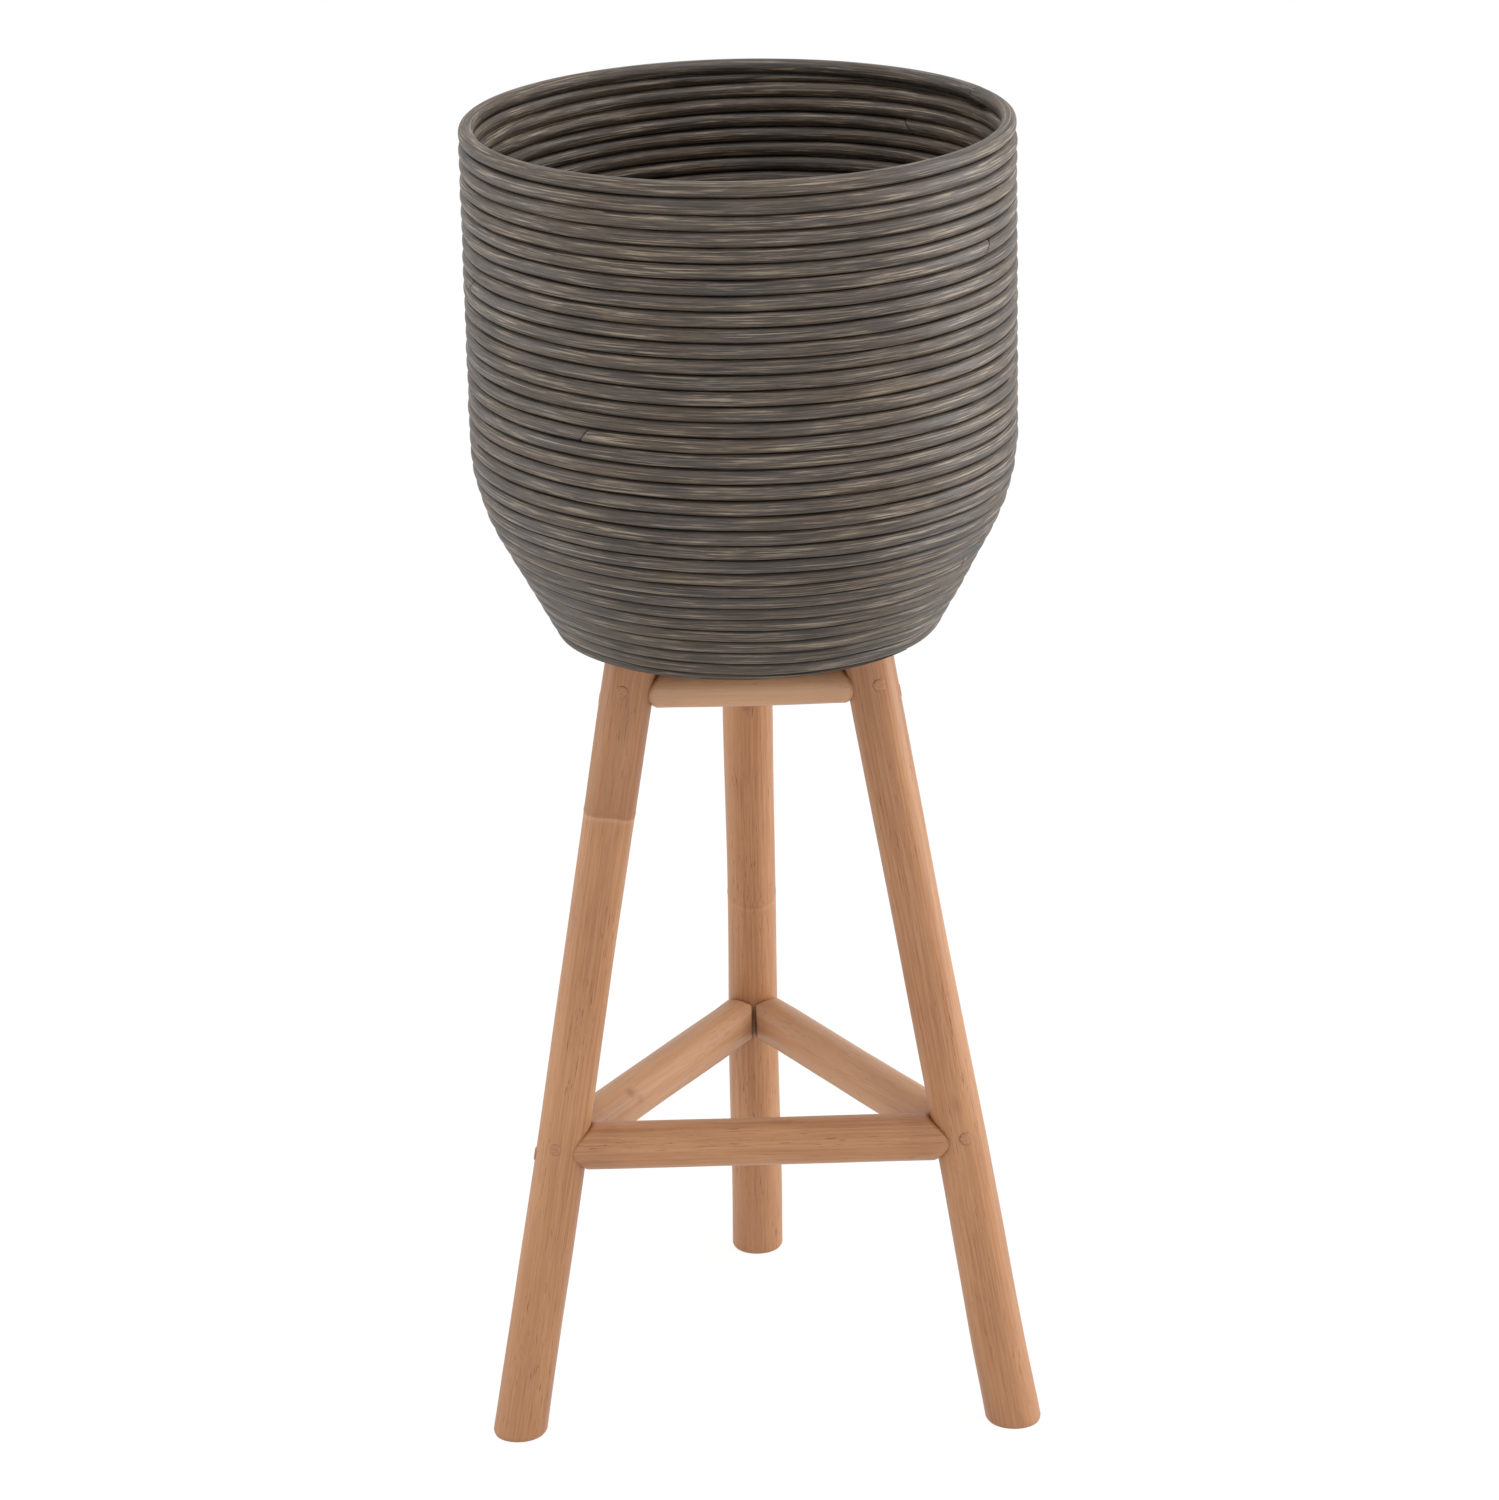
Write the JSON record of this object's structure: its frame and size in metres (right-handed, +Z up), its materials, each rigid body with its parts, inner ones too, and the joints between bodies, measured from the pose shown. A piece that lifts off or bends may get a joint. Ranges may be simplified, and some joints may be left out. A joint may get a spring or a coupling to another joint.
{
  "type": "standing rattan planter",
  "caption": "Round planter bowl of wound grey rattan cane, screwed to a stand of leaning poles joined by upper and lower rails.",
  "frame": {"origin": "on the floor, in the middle of the part's box seen from above; the bowl's axis is 16 mm in front of it", "axes": "+Z up; -Y towards the front, where the two front legs and the front rails are; +X to the right seen from the front"},
  "size_m": [0.3692, 0.3891, 0.88],
  "materials": {
    "grey_cane": "matt grey wash",
    "floor_board": "matt stained plywood",
    "pole": "satin natural rattan pole",
    "plug": "satin end grain",
    "steel": "zinc plated"
  },
  "bodies": {
    "root": {"rim_cane": "grey_cane", "wall_cane_1": "grey_cane", "wall_cane_2": "grey_cane", "wall_cane_3": "grey_cane", "wall_cane_4": "grey_cane", "wall_cane_5": "grey_cane", "wall_cane_6": "grey_cane", "wall_cane_7": "grey_cane", "wall_cane_8": "grey_cane", "wall_cane_9": "grey_cane", "wall_cane_10": "grey_cane", "base_board": "floor_board", "leg_left": "pole", "leg_right": "pole", "leg_rear": "pole", "top_rail_front": "pole", "top_rail_right": "pole", "top_rail_left": "pole", "low_rail_front": "pole", "low_rail_right": "pole", "low_rail_left": "pole", "rail_screws": "steel", "screw_plugs": "plug", "base_screws": "steel", "wall_brads": "steel", "rim_brads": "steel"}
  },
  "joints": []
}
